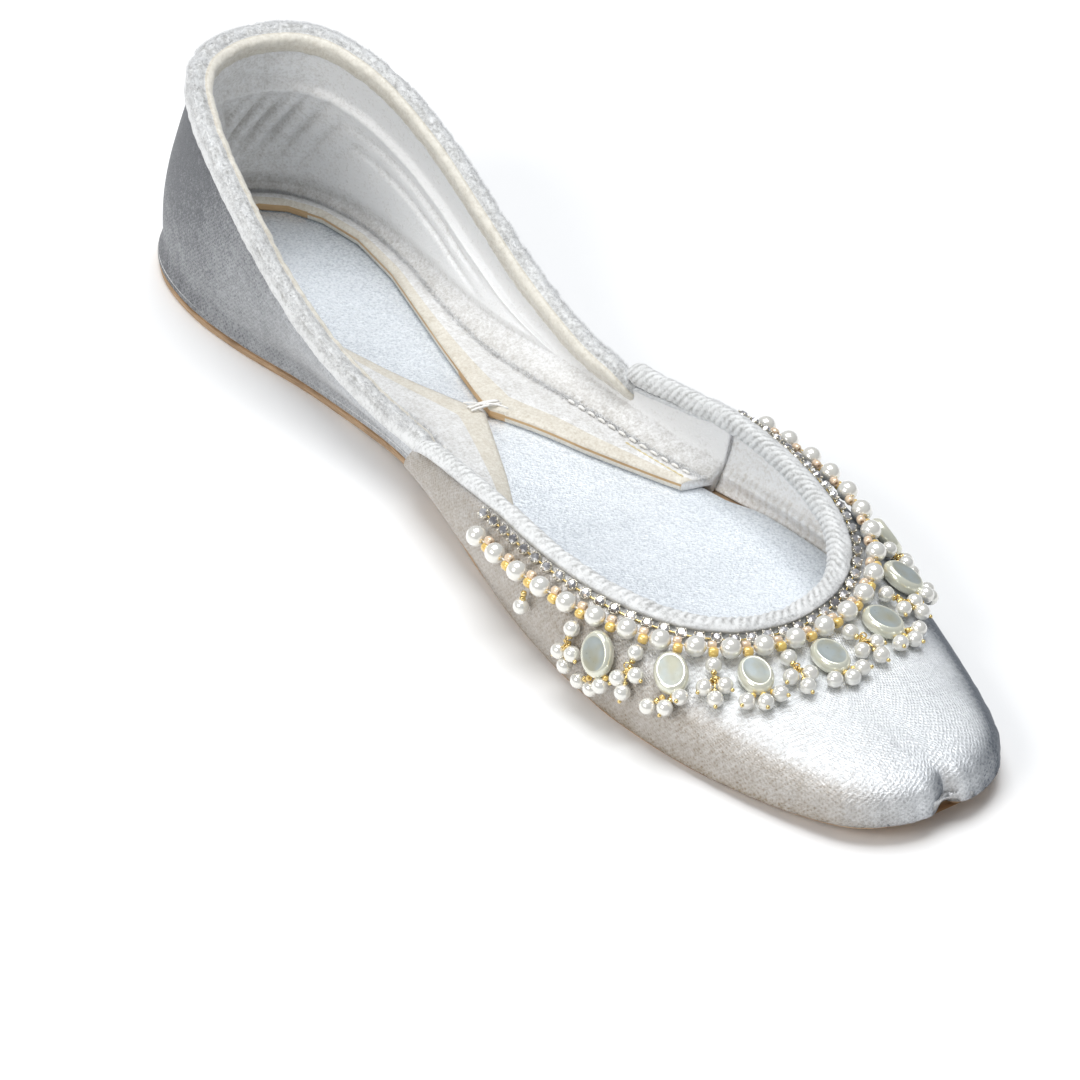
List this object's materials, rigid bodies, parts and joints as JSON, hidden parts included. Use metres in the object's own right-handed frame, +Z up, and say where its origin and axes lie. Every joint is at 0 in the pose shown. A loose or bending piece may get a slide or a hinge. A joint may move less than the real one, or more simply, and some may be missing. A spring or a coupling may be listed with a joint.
{
  "type": "mojari shoe",
  "caption": "Flat velvet mojari slip-on: hollow vamp and quarter, rolled velvet edges, thin two-layer leather sole, and pearl beadwork with drops round the throat.",
  "frame": {"origin": "on the floor, midway along the shoe, on its mirror plane", "axes": "+X from heel to toe, +Y to one side, +Z up from the floor"},
  "size_m": [0.257, 0.08, 0.054],
  "materials": {
    "sole_leather": "tan vegetable-tanned leather, matt, darker cut edge",
    "insole_velvet": "silvery white crushed velvet, glued flat",
    "velvet": "white to silver velvet with a fine woven glitter, sheen across the nap",
    "binding": "rolled off-white velvet, soft fuzzy nap",
    "thread": "white cotton thread",
    "pearl": "cream imitation pearl, lustrous, with small gold beads",
    "oval_pearl": "flat oval bead, silver-grey pearl face in a cream rim",
    "crystal": "cut clear stones in polished gold cups"
  },
  "bodies": {
    "root": {"outsole": "sole_leather", "sole_layer": "sole_leather", "insole": "insole_velvet", "quarter": "velvet", "vamp": "velvet", "quarter_binding": "binding", "vamp_binding": "binding", "flap_tie": "thread", "row_pearl_01": "pearl", "row_pearl_02": "pearl", "row_pearl_03": "pearl", "row_pearl_04": "pearl", "row_pearl_05": "pearl", "row_pearl_06": "pearl", "row_pearl_07": "pearl", "row_pearl_08": "pearl", "row_pearl_09": "pearl", "row_pearl_10": "pearl", "row_pearl_11": "pearl", "row_pearl_12": "pearl", "row_pearl_13": "pearl", "row_pearl_14": "pearl", "row_pearl_15": "pearl", "row_pearl_16": "pearl", "row_pearl_17": "pearl", "row_pearl_18": "pearl", "row_pearl_19": "pearl", "row_pearl_20": "pearl", "row_pearl_21": "pearl", "row_pearl_22": "pearl", "row_pearl_23": "pearl", "row_pearl_24": "pearl", "oval_drop_1": "oval_pearl", "oval_drop_2": "oval_pearl", "oval_drop_3": "oval_pearl", "oval_drop_4": "oval_pearl", "oval_drop_5": "oval_pearl", "oval_drop_6": "oval_pearl", "oval_drop_7": "oval_pearl", "pearl_cluster_1": "pearl", "pearl_cluster_2": "pearl", "pearl_cluster_3": "pearl", "pearl_cluster_4": "pearl", "pearl_cluster_5": "pearl", "pearl_cluster_6": "pearl", "pearl_cluster_7": "pearl", "pearl_cluster_8": "pearl", "single_drop_1": "pearl", "single_drop_2": "pearl", "crystal_chain": "crystal"}
  },
  "joints": []
}
